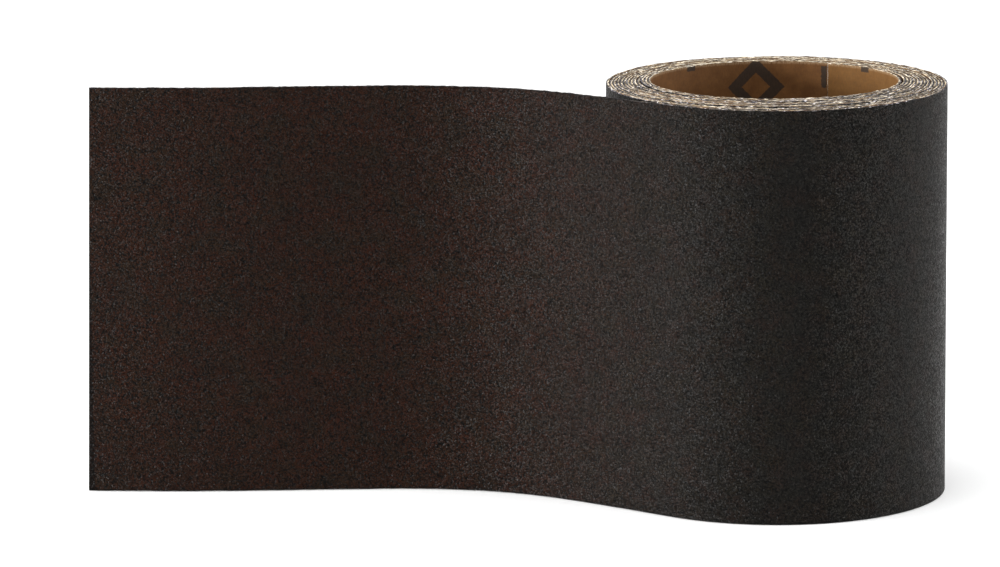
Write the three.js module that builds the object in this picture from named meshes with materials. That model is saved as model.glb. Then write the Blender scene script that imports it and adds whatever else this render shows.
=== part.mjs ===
// A coreless roll of abrasive paper standing on its cut edge, its outer end unrolled to the left.
// One long strip: a kraft paper backing (inside) with a bonded abrasive coat (outside), wound
// clockwise from its inner end. Units mm, +Z up, the roll's axis parallel to Z.
// The free parts of the strip are cut into short stiff segments with a vertical hinge line between
// each two, so that the strip can be wound up or swung open.
import * as THREE from 'three';

// ---- driving dimensions -------------------------------------------------------------------
const STRIP_WIDTH = 115;          // width of the strip = height of the standing roll
const BACKING_T = 0.40;           // kraft paper backing
const GRIT_T = 0.40;              // bonded abrasive coat
const STRIP_T = BACKING_T + GRIT_T;
const BORE_A = 34.55;             // half width of the hollow middle along X
const BORE_B = 32.0;              // half width of the hollow middle along Y
const OUTER_R = 47.25;            // inner face of the last turn
const WOUND_DEG = 4872;           // 13.53 turns
const START_DEG = 63;             // direction of the strip's inner end seen from the axis
const STEP_DEG = 12;              // one facet of the spiral
const INNER_END_DEG = [0, 24, 48];// the loose inner end: two segments
const INNER_TURN_END = 408;       // end of the innermost full turn
const OUTER_TURN_START = 4512;    // start of the outermost full turn
const INNER_RAISE = 0.70;         // the inner turns stand a little proud of the outer one
const MIDDLE_RAISE = 0.35;
const HINGE_GAP = 0.30;           // slit between two segments at a hinge line
const AXIS_X = 73.05;             // the roll's axis in the part's frame
const AXIS_Y = 0.031;
const COIL_DX = -0.20;            // centre of the spiral off the roll's axis
const COIL_DY = 0.25;
const TAIL_LENGTH = 172.75;       // unrolled end, measured along the strip
const TAIL_SEGMENTS = 10;
const TAIL_CUT_SLANT = 1.15;      // the end is cut slightly out of square
// where plies stand apart: [wound angle of the ply inside the gap, half width in deg, extra gap]
const LOOSE = [
  [931, 55, 0.40], [4471, 60, 0.32], [58, 40, 0.45], [1650, 40, 0.14], [2260, 50, 0.12],
  [2950, 45, 0.15], [3390, 55, 0.12], [3800, 40, 0.12], [4100, 45, 0.10], [1330, 45, 0.12],
];
// how the unrolled end turns along its length: [turn in deg, from mm, over mm]
const TAIL_BENDS = [[33.908, 22.113, 74.279], [-9.506, 110.702, 65.252], [9.488, -11.887, 186.479]];

// ---- materials ----------------------------------------------------------------------------
const backingMaterial = () => new THREE.MeshStandardMaterial({ color: 0x8a6238, roughness: 0.86, metalness: 0 });
const gritMaterial = () => new THREE.MeshStandardMaterial({ color: 0x2e2826, roughness: 0.95, metalness: 0 });

// ---- plan curves --------------------------------------------------------------------------
const RAD = Math.PI / 180;
const bump = (x) => { const v = Math.min(1, Math.abs(x)); return (1 - v * v) ** 2; };

// radius of the backing's inner face after winding phi degrees from the inner end
function spiralRadius(phi) {
  const a = (START_DEG - phi) * RAD;
  const s = phi / WOUND_DEG;
  const bore = 1 / Math.hypot(Math.cos(a) / BORE_A, Math.sin(a) / BORE_B);
  let r = bore * (1 - s) + OUTER_R * s;
  for (const [at, half, extra] of LOOSE) {
    if (phi >= at + 180) continue;
    const d = ((((phi - at + 180) % 360) + 360) % 360) - 180;
    r -= extra * bump(d / half);
  }
  return r;
}

function spiralPoint(phi, off) {
  const a = (START_DEG - phi) * RAD;
  const r = spiralRadius(phi) + off;
  return [AXIS_X + COIL_DX + r * Math.cos(a), AXIS_Y + COIL_DY + r * Math.sin(a)];
}

const lerp = (a, b, t) => [a[0] + (b[0] - a[0]) * t, a[1] + (b[1] - a[1]) * t];

// the faceted spiral from phi0 to phi1, its ends drawn back by cut0 and cut1 mm
function spiralRun(phi0, phi1, off, cut0, cut1) {
  const pts = [];
  for (let phi = phi0; phi <= phi1 + 1e-6; phi += STEP_DEG) pts.push(spiralPoint(phi, off));
  const n = pts.length - 1;
  const len = (a, b) => Math.hypot(a[0] - b[0], a[1] - b[1]);
  if (cut0) pts[0] = lerp(pts[0], pts[1], cut0 / len(pts[0], pts[1]));
  if (cut1) pts[n] = lerp(pts[n], pts[n - 1], cut1 / len(pts[n], pts[n - 1]));
  return pts;
}

const smooth = (x) => { const v = Math.min(1, Math.max(0, x)); return v * v * (3 - 2 * v); };

// middle line of the unrolled end, from where it leaves the roll: points and headings
function tailLine() {
  const a = spiralPoint(WOUND_DEG - 0.2, STRIP_T / 2);
  const b = spiralPoint(WOUND_DEG, STRIP_T / 2);
  const h0 = Math.atan2(b[1] - a[1], b[0] - a[0]);
  const ds = TAIL_LENGTH / (TAIL_SEGMENTS * 250);
  const heading = (s) => TAIL_BENDS.reduce((h, [deg, from, over]) => h + deg * RAD * smooth((s - from) / over), h0);
  const line = [[b[0], b[1], heading(0)]];
  let [x, y] = b;
  for (let i = 1; i <= TAIL_SEGMENTS * 250; i += 1) {
    const h = heading((i - 0.5) * ds);
    x += Math.cos(h) * ds;
    y += Math.sin(h) * ds;
    line.push([x, y, heading(i * ds)]);
  }
  return line;
}

// ---- solids -------------------------------------------------------------------------------
// the stretch of sheet between two plan lines, extruded over the strip's width
function sheet(name, inner, outer, z, material) {
  const outline = [...inner, ...[...outer].reverse()];
  const shape = new THREE.Shape(outline.map(([x, y]) => new THREE.Vector2(x, y)));
  const geometry = new THREE.ExtrudeGeometry(shape, { depth: STRIP_WIDTH, steps: 1, bevelEnabled: false });
  geometry.translate(0, 0, z);
  const mesh = new THREE.Mesh(geometry, material);
  mesh.name = name;
  return mesh;
}

// leans the end face at point b over: further along u at the bottom, less far at the top
function slantEnd(geometry, b, u) {
  const p = geometry.getAttribute('position');
  for (let i = 0; i < p.count; i += 1) {
    const along = (p.getX(i) - b[0]) * u[0] + (p.getY(i) - b[1]) * u[1];
    if (along < -1) continue;
    const lean = TAIL_CUT_SLANT * (1 - (2 * p.getZ(i)) / STRIP_WIDTH);
    p.setXY(i, p.getX(i) + u[0] * lean, p.getY(i) + u[1] * lean);
  }
  geometry.computeVertexNormals();
}

const part = new THREE.Group();
part.name = 'abrasive_paper_roll';

// both layers of a stretch of the wound strip
function wound(name, phi0, phi1, z, cut0, cut1) {
  const run = (off) => spiralRun(phi0, phi1, off, cut0, cut1);
  const inner = run(0);
  const face = run(BACKING_T);
  const outer = run(STRIP_T);
  part.add(sheet(`${name}_backing`, inner, face, z, backingMaterial()));
  part.add(sheet(`${name}_grit`, face, outer, z, gritMaterial()));
}

const cut = HINGE_GAP / 2;
wound('inner_end_2', INNER_END_DEG[0], INNER_END_DEG[1], INNER_RAISE, 0, cut);
wound('inner_end_1', INNER_END_DEG[1], INNER_END_DEG[2], INNER_RAISE, cut, cut);
wound('coil_inner_turn', INNER_END_DEG[2], INNER_TURN_END, INNER_RAISE, cut, 0);
wound('coil_middle_turns', INNER_TURN_END, OUTER_TURN_START, MIDDLE_RAISE, 0, 0);
wound('coil_outer_turn', OUTER_TURN_START, WOUND_DEG, 0, 0, cut);

// the unrolled end, segment by segment; the abrasive coat is on the left of its direction
const line = tailLine();
for (let k = 0; k < TAIL_SEGMENTS; k += 1) {
  const a = line[250 * k];
  const b = line[250 * (k + 1)];
  const len = Math.hypot(b[0] - a[0], b[1] - a[1]);
  const u = [(b[0] - a[0]) / len, (b[1] - a[1]) / len];
  const last = k === TAIL_SEGMENTS - 1;
  const at = (along, off) => [a[0] + u[0] * along - u[1] * off, a[1] + u[1] * along + u[0] * off];
  const run = (off) => [at(cut, off), at(last ? len : len - cut, off)];
  const name = `tail_${String(k + 1).padStart(2, '0')}`;
  const backing = sheet(`${name}_backing`, run(-BACKING_T), run(0), 0, backingMaterial());
  const grit = sheet(`${name}_grit`, run(0), run(GRIT_T), 0, gritMaterial());
  if (last) for (const layer of [backing, grit]) slantEnd(layer.geometry, b, u);
  part.add(backing, grit);
}

export default part;
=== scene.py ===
import bpy
import math
import numpy as np
from mathutils import Matrix, Vector


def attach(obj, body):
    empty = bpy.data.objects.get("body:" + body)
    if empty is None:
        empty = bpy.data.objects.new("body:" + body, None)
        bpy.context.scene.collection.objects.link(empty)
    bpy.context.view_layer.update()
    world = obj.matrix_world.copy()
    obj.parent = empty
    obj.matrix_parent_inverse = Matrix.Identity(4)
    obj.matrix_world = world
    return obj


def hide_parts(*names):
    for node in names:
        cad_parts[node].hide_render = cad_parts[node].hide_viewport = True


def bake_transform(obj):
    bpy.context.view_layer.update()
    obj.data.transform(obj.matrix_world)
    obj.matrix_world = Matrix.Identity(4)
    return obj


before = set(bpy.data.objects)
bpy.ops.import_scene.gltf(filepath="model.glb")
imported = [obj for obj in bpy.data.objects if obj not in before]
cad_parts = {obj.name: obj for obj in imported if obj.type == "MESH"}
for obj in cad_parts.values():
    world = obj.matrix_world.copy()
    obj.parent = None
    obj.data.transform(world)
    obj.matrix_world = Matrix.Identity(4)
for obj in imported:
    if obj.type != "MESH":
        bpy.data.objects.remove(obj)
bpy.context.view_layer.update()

# ------------------------------------------------------------------ dimensions, mm, as in the CAD
WIDTH = 115.0
T_BACK, T_GRIT = 0.40, 0.40
T_ALL = T_BACK + T_GRIT
BORE_A, BORE_B, OUTER_R = 34.55, 32.0, 47.25
WOUND, START = 4872.0, 63.0
AXIS = (73.05, 0.031)
COIL = (-0.20, 0.25)
TAIL_LENGTH, SEGMENTS = 172.75, 10
SLANT = 1.15
LOOSE = [
    (931, 55, 0.40), (4471, 60, 0.32), (58, 40, 0.45), (1650, 40, 0.14), (2260, 50, 0.12),
    (2950, 45, 0.15), (3390, 55, 0.12), (3800, 40, 0.12), (4100, 45, 0.10), (1330, 45, 0.12),
]
BENDS = [(33.908, 22.113, 74.279), (-9.506, 110.702, 65.252), (9.488, -11.887, 186.479)]
ROOT_DEG = 10.0  # the first tail piece, at the tail's root, starts this far back on the coil


# ------------------------------------------------------------------ noise along the strip
def noise1(x, size, seed):
    """Smooth repeatable noise from -1 to 1 over a length, in the same units as size."""
    x = np.asarray(x, float) / size
    i = np.floor(x).astype(np.int64)
    f = x - i
    f = f * f * (3 - 2 * f)

    def h(k):
        k = (k * 374761393 + seed * 668265263) & 0xFFFFFFFF
        k = ((k ^ (k >> 13)) * 1274126177) & 0xFFFFFFFF
        k = k ^ (k >> 16)
        return (k & 0xFFFF) / 32767.5 - 1.0

    return h(i) * (1 - f) + h(i + 1) * f


def noise2(x, y, size, seed):
    x = np.asarray(x, float) / size
    y = np.asarray(y, float) / size
    i, j = np.floor(x).astype(np.int64), np.floor(y).astype(np.int64)
    f, g = x - i, y - j
    f, g = f * f * (3 - 2 * f), g * g * (3 - 2 * g)

    def h(a, b):
        k = (a * 374761393 + b * 2246822519 + seed * 668265263) & 0xFFFFFFFF
        k = ((k ^ (k >> 13)) * 1274126177) & 0xFFFFFFFF
        k = k ^ (k >> 16)
        return (k & 0xFFFF) / 32767.5 - 1.0

    return (h(i, j) * (1 - f) + h(i + 1, j) * f) * (1 - g) + (
        h(i, j + 1) * (1 - f) + h(i + 1, j + 1) * f
    ) * g


# ------------------------------------------------------------------ plan line of the strip
def spiral_radius(phi):
    phi = np.asarray(phi, float)
    a = np.radians(START - phi)
    s = phi / WOUND
    bore = 1 / np.hypot(np.cos(a) / BORE_A, np.sin(a) / BORE_B)
    r = bore * (1 - s) + OUTER_R * s
    for at, half, extra in LOOSE:
        d = (phi - at + 180) % 360 - 180
        b = (1 - np.clip(np.abs(d / half), 0, 1) ** 2) ** 2
        r = r - np.where(phi < at + 180, extra * b, 0)
    return r


def spiral_point(phi, off):
    a = np.radians(START - np.asarray(phi, float))
    r = spiral_radius(phi) + off
    return np.stack([AXIS[0] + COIL[0] + r * np.cos(a), AXIS[1] + COIL[1] + r * np.sin(a)], -1)


def smooth(x):
    x = np.clip(x, 0, 1)
    return x * x * (3 - 2 * x)


def tail_heading(s, h0):
    return h0 + sum(math.radians(d) * smooth((s - a) / b) for d, a, b in BENDS)


class Line:
    """The interface between the two layers, from the inner end of the strip to the outer one."""


def build_line():
    phi = np.arange(0, WOUND + 1e-6, 0.6)
    coil = spiral_point(phi, T_BACK)
    step = np.hypot(*np.diff(coil, axis=0).T)
    s_coil = np.concatenate([[0], np.cumsum(step)])
    a, b = spiral_point(np.array([WOUND - 0.2, WOUND]), T_BACK)
    h0 = math.atan2(b[1] - a[1], b[0] - a[0])
    fine = SEGMENTS * 250
    ds = TAIL_LENGTH / fine
    mids = (np.arange(fine) + 0.5) * ds
    h = tail_heading(mids, h0)
    x = b[0] + np.concatenate([[0], np.cumsum(np.cos(h) * ds)])
    y = b[1] + np.concatenate([[0], np.cumsum(np.sin(h) * ds)])
    take = np.arange(0, fine + 1, 5)  # every 0.35 mm
    hinges = np.stack([x, y], -1)[:: fine // SEGMENTS]
    tail = np.stack([x, y], -1)[take]
    L = Line()
    L.P = np.concatenate([coil, tail[1:]])
    L.s = np.concatenate([s_coil, s_coil[-1] + take[1:] * ds])
    L.phi = np.concatenate([phi, np.full(len(tail) - 1, WOUND)])
    d = np.gradient(L.P, axis=0)
    # soften the join so that the sheet leaves the roll without a kink
    k = len(phi) - 1
    w = np.exp(-0.5 * (np.arange(-6, 7) / 2.5) ** 2)
    w /= w.sum()
    dd = d.copy()
    for i in range(k - 24, k + 25):
        dd[i] = (d[i - 6 : i + 7] / np.hypot(*d[i - 6 : i + 7].T)[:, None] * w[:, None]).sum(0)
    d = dd / np.hypot(*dd.T)[:, None]
    L.T = d
    L.N = np.stack([-d[:, 1], d[:, 0]], -1)  # to the left of the direction: the abrasive side
    L.s0 = s_coil[-1]
    L.hinges = hinges
    L.at_phi = lambda p: int(np.argmin(np.abs(phi - p)))
    L.at_tail = lambda t: k + int(round(t / (5 * ds)))
    return L


L = build_line()


# how far a stretch of the strip stands proud along the roll's axis
def raised(i):
    p = L.phi[i] / WOUND
    # the turns have slipped past each other a little, each by its own amount
    slip = 0.10 * noise1(L.phi[i], 290, 11) + 0.06 * noise1(L.phi[i], 97, 8)
    r = 0.70 * (1 - p) ** 1.15 + slip * smooth((L.phi[i] - 60) / 200)
    for at, half, extra in ((940, 95, 0.22), (4473, 75, 0.13), (2310, 60, 0.08), (3380, 80, 0.08)):
        r = r + extra * (1 - np.clip(np.abs((L.phi[i] - at) / half), 0, 1) ** 2) ** 2
    return r * smooth((1 - p) * 16)


# ------------------------------------------------------------------ sheet meshes
def sheet_piece(name, i0, i1, n0, n1, rows_in, rows_out, mats, seed, slant=False, bevel=False):
    """Closed mesh of one layer between two offsets from the interface, over samples i0..i1.
    rows_in and rows_out are heights (0..1) of the vertex rows on its two faces."""
    idx = np.arange(i0, i1 + 1)
    P, N, T, s = L.P[idx], L.N[idx], L.T[idx], L.s[idx]
    up = raised(idx)
    grit = n1 > 0.01
    # cut edges: the cut wanders a little and the coat crumbles
    cut_hi = 0.07 * noise1(s, 9.0, seed) + 0.06 * noise1(s, 1.7, seed + 1)
    cut_lo = 0.05 * noise1(s, 7.0, seed + 2) + 0.04 * noise1(s, 1.9, seed + 3)
    if grit:
        hi_in = cut_hi - 0.03 + 0.07 * noise1(s, 0.8, seed + 4)
        hi_mid = cut_hi - 0.08 + 0.13 * noise1(s, 0.7, seed + 5)
        hi_out = cut_hi - 0.12 + 0.12 * noise1(s, 0.9, seed + 6)
    else:
        hi_in = cut_hi + 0.02 + 0.07 * noise1(s, 0.9, seed + 7)
        hi_mid = cut_hi + 0.07 + 0.08 * noise1(s, 0.8, seed + 8)
        hi_out = cut_hi + 0.03 + 0.05 * noise1(s, 0.8, seed + 9)
    # on the unrolled stretch the coat's edge stands a little over the backing's
    slack = smooth((s - L.s0 + 12) / 26)
    if not grit:
        hi_in, hi_mid, hi_out = hi_in - 0.13 * slack, hi_mid - 0.17 * slack, hi_out - 0.13 * slack
    else:
        hi_in, hi_mid, hi_out = hi_in + 0.03 * slack, hi_mid + 0.06 * slack, hi_out + 0.04 * slack
    lo = np.maximum(up + 0.02 + 0.6 * cut_lo, 0.0)
    ring, zs, ns, kinds = [], [], [], []

    def add(n, z, kind):
        ns.append(n)
        zs.append(z)
        kinds.append(kind)

    m = len(idx)
    one = np.ones(m)
    for r in rows_in:  # up the inner face
        top, bot = WIDTH + up + hi_in, lo
        z = bot * (1 - r) + top * r
        wob = 0.0 if r in (0, 1) else 0.03 * noise2(s, z, 11.0, seed + 11)
        add(n0 * one + (wob if not grit else 0.0), z, "in")
    add(0.5 * (n0 + n1) * one + 0.05 * noise1(s, 1.1, seed + 13), WIDTH + up + hi_mid, "top")
    for r in rows_out[::-1]:  # down the outer face
        top, bot = WIDTH + up + hi_out, lo
        z = bot * (1 - r) + top * r
        wob = 0.0 if r in (0, 1) else 0.035 * noise2(s, z, 9.0, seed + 12)
        add(n1 * one + (wob if grit else 0.0), z, "out")
    R = len(ns)
    ns, zs = np.stack(ns, 1), np.stack(zs, 1)  # m x R
    lean = np.zeros_like(zs)
    if slant:  # the free end isn't cut quite square
        t = (s - s[0]) / (s[-1] - s[0])
        lean = SLANT * (1 - 2 * zs / WIDTH) * t[:, None]
    if bevel:  # the inner end's cut face leans, so its edge shows as a thin line
        t = np.clip(1 - (s - s[0]) / 6.5, 0, 1)
        lean = t[:, None] * (1.0 + 0.45 * (T_GRIT - ns) / T_ALL + 0.06 * noise1(zs, 1.3, seed + 21))
    co = np.empty((m, R, 3))
    co[..., 0] = P[:, None, 0] + N[:, None, 0] * ns + T[:, None, 0] * lean
    co[..., 1] = P[:, None, 1] + N[:, None, 1] * ns + T[:, None, 1] * lean
    co[..., 2] = zs
    attr = np.empty((m, R, 3))
    attr[..., 0] = s[:, None] + lean
    attr[..., 1] = zs
    attr[..., 2] = ns
    a = np.arange(m - 1)[:, None] * R + np.arange(R)[None, :]
    b = np.arange(m - 1)[:, None] * R + (np.arange(R)[None, :] + 1) % R
    quads = np.stack([a, a + R, b + R, b], -1)  # m-1 x R x 4
    n_in = len(rows_in)
    kind = np.zeros(R, int)  # material of the strip between ring vertex k and k+1
    kind[: n_in - 1] = 0  # inner face
    kind[n_in - 1] = 1  # cut edge
    kind[n_in] = 1
    kind[n_in + 1 : R - 1] = 0  # outer face
    kind[R - 1] = 1  # lower cut edge
    faces = quads.reshape(-1, 4).tolist()
    mat = np.tile(kind, m - 1).tolist()
    faces.append(list(range(R)))
    faces.append([(m - 1) * R + k for k in range(R)][::-1])
    mat += [1, 1]
    me = bpy.data.meshes.new(name)
    me.from_pydata((co.reshape(-1, 3) / 1000).tolist(), [], faces)
    me.update()
    at = me.attributes.new("strip", "FLOAT_VECTOR", "POINT")
    at.data.foreach_set("vector", (attr.reshape(-1, 3) / 1000).astype(np.float32).ravel())
    for mt in mats:
        me.materials.append(mt)
    me.polygons.foreach_set("material_index", np.array(mat, np.int32))
    me.polygons.foreach_set("use_smooth", np.ones(len(faces), bool))
    # keep the cut edges crisp
    sharp = me.attributes.new("sharp_edge", "BOOLEAN", "EDGE")
    ev = np.empty(len(me.edges) * 2, np.int32)
    me.edges.foreach_get("vertices", ev)
    ev = ev.reshape(-1, 2)
    k0, k1 = ev[:, 0] % R, ev[:, 1] % R
    along = k0 == k1
    corner = np.isin(k0, [0, n_in - 1, n_in + 1, R - 1])
    i_a, i_b = ev[:, 0] // R, ev[:, 1] // R
    at_end = (i_a == i_b) & ((i_a == 0) | (i_a == m - 1))
    sharp.data.foreach_set("value", (along & corner) | at_end)
    # outward normals
    import bmesh

    bm = bmesh.new()
    bm.from_mesh(me)
    if bm.calc_volume(signed=True) < 0:
        bmesh.ops.reverse_faces(bm, faces=bm.faces)
    bm.to_mesh(me)
    bm.free()
    ob = bpy.data.objects.new(name, me)
    bpy.context.scene.collection.objects.link(ob)
    return ob


# ------------------------------------------------------------------ materials
class Nodes:
    """Short hand for building a procedural material."""

    def __init__(self, name):
        self.mat = bpy.data.materials.new(name)
        self.mat.use_nodes = True
        self.t = self.mat.node_tree
        self.bsdf = self.t.nodes["Principled BSDF"]

    def put(self, socket, value):
        if isinstance(value, bpy.types.NodeSocket):
            self.t.links.new(value, socket)
        else:
            socket.default_value = value

    def new(self, kind, inputs, **props):
        n = self.t.nodes.new(kind)
        for k, v in props.items():
            setattr(n, k, v)
        for k, v in inputs.items():
            self.put(n.inputs[k], v)
        return n

    def math(self, op, a, b=None, c=None, clamp=False):
        n = self.t.nodes.new("ShaderNodeMath")
        n.operation, n.use_clamp = op, clamp
        for i, v in enumerate((a, b, c)):
            if v is not None:
                self.put(n.inputs[i], v)
        return n.outputs[0]

    def place(self):
        """Where on the strip a point is: length, height and depth through the sheet, in metres."""
        return self.new("ShaderNodeAttribute", {}, attribute_name="strip").outputs["Vector"]

    def stretch(self, v, sx, sy, sz):
        n = self.new("ShaderNodeVectorMath", {0: v, 1: (sx, sy, sz)}, operation="MULTIPLY")
        return n.outputs[0]

    def noise(self, v, scale, detail=2.0, rough=0.5):
        return self.new(
            "ShaderNodeTexNoise", {"Vector": v, "Scale": scale, "Detail": detail, "Roughness": rough}
        ).outputs["Fac"]

    def cells(self, v, scale, out="Distance", feature="F1"):
        return self.new("ShaderNodeTexVoronoi", {"Vector": v, "Scale": scale}, feature=feature).outputs[out]

    def span(self, x, a, b, lo=0.0, hi=1.0, kind="LINEAR"):
        n = self.new(
            "ShaderNodeMapRange",
            {"Value": x, "From Min": a, "From Max": b, "To Min": lo, "To Max": hi},
            interpolation_type=kind,
        )
        return n.outputs[0]

    def mix(self, fac, a, b, how="MIX"):
        n = self.t.nodes.new("ShaderNodeMix")
        n.data_type, n.blend_type, n.clamp_result = "RGBA", how, False
        self.put(n.inputs[0], fac)
        for i, v in ((6, a), (7, b)):
            self.put(n.inputs[i], (*v, 1.0) if isinstance(v, tuple) else v)
        return n.outputs[2]

    def shade(self, colour, k):
        """A colour made lighter or darker by a number."""
        n = self.new("ShaderNodeVectorMath", {0: colour, "Scale": k}, operation="SCALE")
        return n.outputs[0]

    def bump(self, height, distance, strength=1.0, normal=None):
        i = {"Height": height, "Distance": distance, "Strength": strength}
        if normal is not None:
            i["Normal"] = normal
        return self.new("ShaderNodeBump", i).outputs[0]

    def finish(self, colour, rough, normal, specular):
        self.put(self.bsdf.inputs["Base Color"], colour)
        self.put(self.bsdf.inputs["Roughness"], rough)
        self.put(self.bsdf.inputs["Normal"], normal)
        self.bsdf.inputs["Specular IOR Level"].default_value = specular
        return self.mat


def grit_coat():
    m = Nodes("abrasive_coat")
    v = m.place()
    xyz = m.new("ShaderNodeSeparateXYZ", {0: v})
    s, z = xyz.outputs[0], xyz.outputs[1]
    grain = m.cells(v, 2650.0)  # grains and gaps between them, four tenths of a millimetre apart
    tone = m.new("ShaderNodeSeparateXYZ", {0: m.cells(v, 2650.0, "Color")})
    t0, t1, t2 = tone.outputs[0], tone.outputs[1], tone.outputs[2]
    fine = m.noise(v, 5200.0, 2.0, 0.6)
    clump = m.noise(v, 1500.0, 3.0, 0.62)
    blotch = m.noise(v, 62.0, 3.0, 0.55)
    red = m.noise(v, 170.0, 3.0, 0.6)
    green = m.noise(m.stretch(v, 1.0, 1.0, -1.0), 121.0, 3.0, 0.55)
    # browner on the slack outer stretch, nearly neutral on the wound part
    along = m.span(s, (L.s0 - 35) / 1000, (L.s0 + 100) / 1000, 0.0, 1.0, "SMOOTHSTEP")
    base = m.mix(along, (0.0093, 0.0085, 0.0069), (0.0208, 0.0068, 0.0027))
    warm = m.math("MULTIPLY", m.span(red, 0.44, 0.62), m.span(along, 0, 1, 0.2, 0.7))
    base = m.mix(warm, base, (0.0262, 0.0069, 0.0030))
    cool = m.math("MULTIPLY", m.span(green, 0.46, 0.64), m.span(along, 0, 1, 0.45, 0.5))
    base = m.mix(cool, base, (0.0126, 0.0091, 0.0044))
    base = m.shade(base, m.span(clump, 0.32, 0.68, 0.70, 1.30))
    base = m.shade(base, m.span(blotch, 0.35, 0.65, 0.90, 1.10))
    base = m.shade(base, m.span(t0, 0.0, 1.0, 0.56, 1.44))
    base = m.mix(m.span(t1, 0.90, 1.0, 0.0, 0.80), base, (0.034, 0.031, 0.028))
    base = m.mix(m.span(grain, 0.40, 0.66), base, (0.0010, 0.0008, 0.0007))
    # pressed dark along the cuts
    cut = m.span(m.math("ABSOLUTE", m.math("SUBTRACT", z, 0.0576)), 0.05705, 0.05735, 1.0, 0.3)
    cut = m.math("MULTIPLY", cut, m.span(s, (L.s[-1] - 0.75) / 1000, (L.s[-1] - 0.4) / 1000, 1.0, 0.3))
    base = m.shade(base, cut)
    tall = m.math("MULTIPLY_ADD", grain, -0.8, m.math("MULTIPLY", t2, 0.55))
    tall = m.math("MULTIPLY_ADD", fine, 0.22, tall)
    normal = m.bump(clump, 0.00012, 1.0)
    # every grain leans its own way
    away = m.new("ShaderNodeVectorMath", {0: v, 1: m.cells(v, 2650.0, "Position")})
    away.operation = "SUBTRACT"
    lean = m.new("ShaderNodeVectorMath", {0: m.cells(v, 2650.0, "Color"), 1: (0.5, 0.5, 0.5)})
    lean.operation = "SUBTRACT"
    facet = m.new("ShaderNodeVectorMath", {0: away.outputs[0], 1: lean.outputs[0]})
    facet.operation = "DOT_PRODUCT"
    normal = m.bump(facet.outputs["Value"], 0.92, 1.0, normal)
    normal = m.bump(tall, 0.00010, 1.0, normal)
    rough = m.span(t1, 0.0, 1.0, 0.28, 0.68)
    return m.finish(base, rough, normal, 0.075)


def kraft():
    m = Nodes("kraft_backing")
    v = m.place()
    xyz = m.new("ShaderNodeSeparateXYZ", {0: v})
    s, z = xyz.outputs[0], xyz.outputs[1]
    fibre = m.noise(m.stretch(v, 1.0, 0.28, 1.0), 2600.0, 4.0, 0.65)
    cross = m.noise(m.stretch(v, 0.3, 1.0, 1.0), 1500.0, 3.0, 0.6)
    cloud = m.noise(v, 210.0, 4.0, 0.6)
    broad = m.noise(v, 30.0, 2.0, 0.5)
    fleck = m.cells(m.stretch(v, 1.0, 0.45, 1.0), 520.0)
    base = m.mix(m.span(cloud, 0.34, 0.68), (0.118, 0.050, 0.0142), (0.160, 0.070, 0.0210))
    # lighter over the first few centimetres from the inner end
    base = m.mix(m.span(s, 0.030, 0.075, 1.0, 0.0, "SMOOTHSTEP"), base, m.mix(m.span(cloud, 0.34, 0.68), (0.150, 0.067, 0.0165), (0.180, 0.085, 0.0230)))
    base = m.shade(base, m.span(broad, 0.3, 0.7, 0.92, 1.08))
    base = m.shade(base, m.span(fibre, 0.28, 0.72, 0.86, 1.14))
    base = m.shade(base, m.span(cross, 0.3, 0.7, 0.95, 1.05))
    base = m.mix(m.span(fleck, 0.02, 0.10, 0.45, 0.0), base, (0.10, 0.050, 0.024))
    # worn lighter just under the cut edges
    worn = m.span(m.math("ABSOLUTE", m.math("SUBTRACT", z, 0.0577)), 0.0571, 0.0578, 0.0, 0.45, "SMOOTHSTEP")
    worn = m.math("MULTIPLY", worn, m.span(fibre, 0.35, 0.6))
    base = m.mix(worn, base, (0.50, 0.36, 0.22))
    # plain printed marks, repeated: hollow diamonds with a short bar on either side
    row = m.math("ROUND", m.math("DIVIDE", m.math("SUBTRACT", z, 0.1085), 0.036))
    dv = m.math("SUBTRACT", m.math("SUBTRACT", z, 0.1085), m.math("MULTIPLY", row, 0.036))
    odd = m.math("PINGPONG", row, 1.0)
    ss = m.math("MULTIPLY_ADD", odd, 0.0396, m.math("SUBTRACT", s, 0.1930))
    du = m.math("SUBTRACT", ss, m.math("MULTIPLY", m.math("ROUND", m.math("DIVIDE", ss, 0.0792)), 0.0792))
    bleed = m.span(m.noise(v, 1500.0, 3.0, 0.6), 0.3, 0.7, -0.00016, 0.00016)
    dia = m.math("ADD", m.math("ABSOLUTE", du), m.math("ABSOLUTE", dv))
    dia = m.math("ABSOLUTE", m.math("SUBTRACT", dia, 0.0062))
    dia = m.math("SUBTRACT", dia, 0.0021)

    def bar(cx, cy, hx, hy):
        a = m.math("SUBTRACT", m.math("ABSOLUTE", m.math("SUBTRACT", du, cx)), hx)
        b = m.math("SUBTRACT", m.math("ABSOLUTE", m.math("SUBTRACT", dv, cy)), hy)
        return m.math("MAXIMUM", a, b)

    ink = m.math("MINIMUM", dia, bar(0.0198, 0.0031, 0.00085, 0.0031))
    ink = m.math("MINIMUM", ink, bar(-0.0206, 0.0074, 0.0015, 0.0016))
    ink = m.span(m.math("ADD", ink, bleed), -0.00012, 0.00012, 1.0, 0.0)
    ink = m.math("MULTIPLY", ink, m.span(fibre, 0.30, 0.60, 0.80, 0.96))
    # rubbed off along the lighter stretch near the inner end
    bare = m.math("MULTIPLY", m.span(s, 0.0163, 0.0167), m.span(s, 0.068, 0.080, 1.0, 0.0))
    ink = m.math("MULTIPLY", ink, m.math("SUBTRACT", 1.0, bare))
    base = m.mix(ink, base, (0.030, 0.021, 0.015))
    normal = m.bump(cloud, 0.00012, 0.6)
    normal = m.bump(fibre, 0.00005, 0.8, normal)
    rough = m.span(fibre, 0.3, 0.7, 0.72, 0.88)
    return m.finish(base, rough, normal, 0.22)


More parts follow.
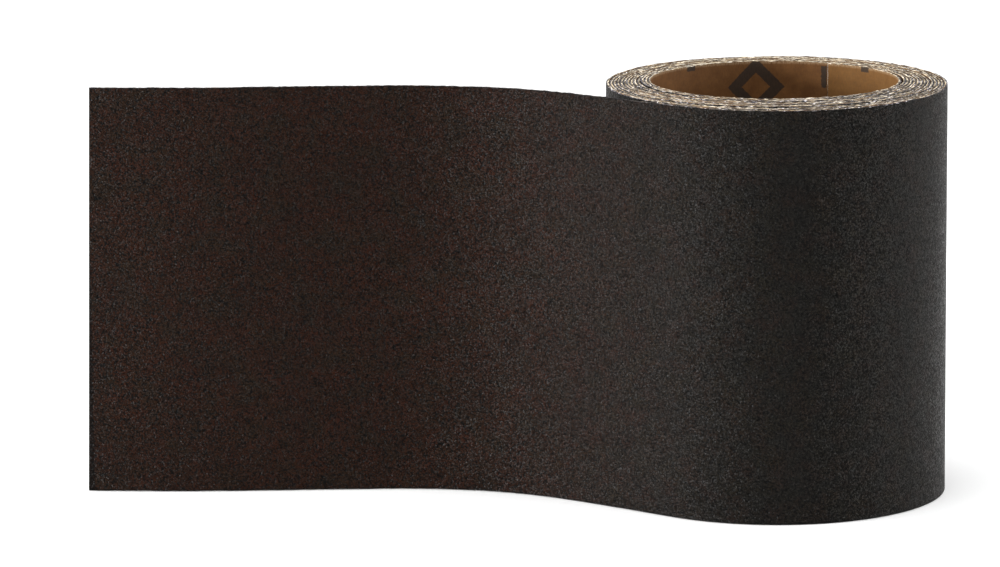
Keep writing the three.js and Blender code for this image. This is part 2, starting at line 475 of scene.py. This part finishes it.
def tone_and_painted_shade_patches(m, v):
    """Pale and dark lengths of the cut, the same on both layers of a turn: partly random tone, partly painted
    light and shade standing in for the uneven heights of the plies.
    """
    w = m.noise(m.stretch(v, 0.55, 0.3, 0.02), 420.0, 3.0, 0.6)
    return m.span(w, 0.38, 0.60, 0.45, 1.42)


def kraft_cut():
    """Torn fibres on the cut edge of the backing: pale, with dark pits."""
    m = Nodes("kraft_cut_edge")
    v = m.place()
    s = m.new("ShaderNodeSeparateXYZ", {0: v}).outputs[0]
    a = m.noise(m.stretch(v, 0.42, 0.5, 1.6), 1500.0, 4.0, 0.68)
    b = m.noise(v, 380.0, 3.0, 0.6)
    c = m.noise(m.stretch(v, 0.6, 1.0, 2.0), 3400.0, 3.0, 0.65)
    far = m.noise(v, 36.0, 3.0, 0.6)
    base = m.mix(m.span(b, 0.38, 0.62), (0.52, 0.40, 0.250), (0.95, 0.87, 0.74))
    base = m.mix(m.span(far, 0.42, 0.62, 0.0, 0.45), base, (0.62, 0.50, 0.31))
    base = m.shade(base, m.span(c, 0.30, 0.68, 0.60, 1.25))
    # painted light and shade along the cut, shared with the coat of the same turn
    base = m.shade(base, tone_and_painted_shade_patches(m, v))
    base = m.mix(m.span(a, 0.42, 0.56, 0.95, 0.0), base, (0.045, 0.032, 0.024))
    # darker where the coat has been dragged over the cut on the unrolled stretch
    dragged = m.span(s, (L.s0 - 12) / 1000, (L.s0 + 14) / 1000, 0.0, 0.90, "SMOOTHSTEP")
    base = m.mix(m.math("MULTIPLY", dragged, m.span(b, 0.30, 0.70, 1.0, 0.8)), base, (0.034, 0.026, 0.022))
    normal = m.bump(a, 0.00022, 1.0)
    normal = m.bump(c, 0.00006, 0.9, normal)
    rough = m.span(c, 0.3, 0.7, 0.78, 0.92)
    return m.finish(base, rough, normal, 0.15)


def grit_cut():
    """Broken abrasive and resin on the cut edge of the coat: dark grey, with pale specks."""
    m = Nodes("abrasive_cut_edge")
    v = m.place()
    s = m.new("ShaderNodeSeparateXYZ", {0: v}).outputs[0]
    g = m.new("ShaderNodeSeparateXYZ", {0: m.cells(m.stretch(v, 0.6, 1.0, 1.0), 2500.0, "Color")})
    a = m.noise(m.stretch(v, 0.5, 1.0, 1.0), 1400.0, 4.0, 0.7)
    far = m.noise(v, 55.0, 3.0, 0.6)
    base = m.mix(m.span(g.outputs[0], 0.0, 1.0), (0.006, 0.0055, 0.0065), (0.075, 0.069, 0.082))
    base = m.mix(m.span(g.outputs[1], 0.80, 0.97, 0.0, 0.95), base, (0.64, 0.61, 0.65))
    base = m.shade(base, m.span(a, 0.36, 0.64, 0.35, 1.45))
    # painted light and shade along the cut, shared with the backing of the same turn
    base = m.shade(base, tone_and_painted_shade_patches(m, v))
    base = m.mix(m.span(far, 0.42, 0.66, 0.0, 0.22), base, (0.20, 0.155, 0.10))
    dragged = m.span(s, (L.s0 - 12) / 1000, (L.s0 + 14) / 1000, 0.0, 0.86, "SMOOTHSTEP")
    base = m.mix(dragged, base, (0.020, 0.016, 0.015))
    normal = m.bump(g.outputs[0], 0.00020, 0.9)
    normal = m.bump(a, 0.00018, 0.9, normal)
    rough = m.span(g.outputs[2], 0.0, 1.0, 0.45, 0.85)
    return m.finish(base, rough, normal, 0.2)


M_GRIT, M_KRAFT, M_GRIT_CUT, M_KRAFT_CUT = grit_coat(), kraft(), grit_cut(), kraft_cut()


# ------------------------------------------------------------------ the pieces
def rows(step):
    n = max(1, int(round(WIDTH / step)))
    # closer together towards the cut edges, where the sheet is worn
    r = [0.0, 0.006] + [0.006 + (0.988) * k / n for k in range(1, n)] + [0.994, 1.0]
    return r


WALL, BARE = rows(3.0), [0.0, 0.03, 0.97, 1.0]


def layers(name, i0, i1, back_rows, grit_rows, replaced, place, **kw):
    """Both layers of one stretch of the strip, put on their bodies by place()."""
    b = sheet_piece(name + "_backing", i0, i1, -T_BACK, 0.0, back_rows, BARE, (M_KRAFT, M_KRAFT_CUT), 100, **kw)
    g = sheet_piece(name + "_grit", i0, i1, 0.0, T_GRIT, BARE, grit_rows, (M_GRIT, M_GRIT_CUT), 200, **kw)
    for o in (b, g):
        place(o)
    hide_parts(*[r + "_backing" for r in replaced])
    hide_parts(*[r + "_grit" for r in replaced])


def rider(body):
    return lambda o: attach(o, body)


def bender(i0, i1):
    return lambda o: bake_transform(o)


P = L.at_phi
layers("inner_end_tip", P(0), P(12), WALL, BARE, ["inner_end_2"], rider("inner_end_2"), bevel=True)
layers("inner_end_bend_1", P(12), P(36), WALL, BARE, ["inner_end_2"], bender(P(12), P(36)))
layers("inner_end_bend_2", P(36), P(60), WALL, BARE, ["inner_end_1"], bender(P(36), P(60)))
layers("inner_turn", P(60), P(408), WALL, BARE, ["coil_inner_turn"], rider("coil"))
layers("middle_turns", P(408), P(4512), BARE, BARE, ["coil_middle_turns"], rider("coil"))
root = P(WOUND - ROOT_DEG)
layers("outer_turn", P(4512), root, BARE, WALL, ["coil_outer_turn"], rider("coil"))
seg = TAIL_LENGTH / SEGMENTS
edge = root
for k in range(SEGMENTS):
    i1 = L.at_tail(seg * (k + 0.5))
    b = "tail_%02d" % (k + 1)
    layers("tail_bend_%02d" % (k + 1), edge, i1, WALL, WALL, [b], bender(edge, i1))
    edge = i1
layers("tail_tip", edge, L.at_tail(TAIL_LENGTH), WALL, WALL, ["tail_%02d" % SEGMENTS], rider("tail_%02d" % SEGMENTS), slant=True)


# ------------------------------------------------------------------ floor, light, camera
def pale_floor():
    me = bpy.data.meshes.new("studio_floor")
    n, half = 24, 7.0
    g = [(-half + 2 * half * i / n, -half + 2 * half * j / n, -0.0002) for j in range(n + 1) for i in range(n + 1)]
    f = [(j * (n + 1) + i, j * (n + 1) + i + 1, (j + 1) * (n + 1) + i + 1, (j + 1) * (n + 1) + i) for j in range(n) for i in range(n)]
    me.from_pydata(g, [], f)
    ob = bpy.data.objects.new("studio_floor", me)
    bpy.context.scene.collection.objects.link(ob)
    m = Nodes("studio_floor")
    v = m.new("ShaderNodeNewGeometry", {}).outputs["Position"]
    c = m.mix(m.noise(v, 3.0, 3.0), (0.93, 0.93, 0.93), (0.95, 0.95, 0.95))
    me.materials.append(m.finish(c, m.span(m.noise(v, 300.0), 0.3, 0.7, 0.85, 0.95), m.bump(m.noise(v, 900.0), 0.0001, 0.2), 0.1))


pale_floor()

world = bpy.data.worlds.new("studio")
bpy.context.scene.world = world
world.use_nodes = True
world.node_tree.nodes["Background"].inputs[0].default_value = (1.0, 1.0, 1.0, 1.0)
world.node_tree.nodes["Background"].inputs[1].default_value = 0.62

AIM = Vector((0.0, 0.0, 0.058))


def softbox(name, at, size, power, tint=(1.0, 1.0, 1.0)):
    lamp = bpy.data.lights.new(name, "AREA")
    lamp.shape, lamp.size, lamp.size_y = "RECTANGLE", size[0], size[1]
    lamp.energy, lamp.color = power, tint
    ob = bpy.data.objects.new(name, lamp)
    ob.location = at
    ob.rotation_euler = (AIM - Vector(at)).to_track_quat("-Z", "Y").to_euler()
    bpy.context.scene.collection.objects.link(ob)


softbox("soft_left", (-1.38, -0.29, 0.23), (0.24, 0.40), 35.0)
softbox("soft_right", (1.35, -0.04, 0.30), (0.60, 0.50), 10.4)
softbox("soft_top", (0.0, -0.15, 1.6), (1.4, 1.2), 23.0)

D, SIDE, HIGH, PITCH, ROLL = 1.704, -0.0773, 0.05861, math.radians(11.083), math.radians(0.402)
cam = bpy.data.cameras.new("camera")
cam.lens, cam.sensor_width, cam.sensor_fit = 219.13, 36.0, "HORIZONTAL"
cam.clip_start, cam.clip_end = 0.05, 50.0
eye = bpy.data.objects.new("camera", cam)
eye.matrix_world = (
    Matrix.Translation((SIDE + AXIS[0] / 1000, -D * math.cos(PITCH) + AXIS[1] / 1000, HIGH + D * math.sin(PITCH)))
    @ Matrix.Rotation(math.pi / 2 - PITCH, 4, "X")
    @ Matrix.Rotation(-ROLL, 4, "Z")
)
bpy.context.scene.collection.objects.link(eye)
bpy.context.scene.camera = eye
bpy.context.scene.view_settings.view_transform = "Standard"
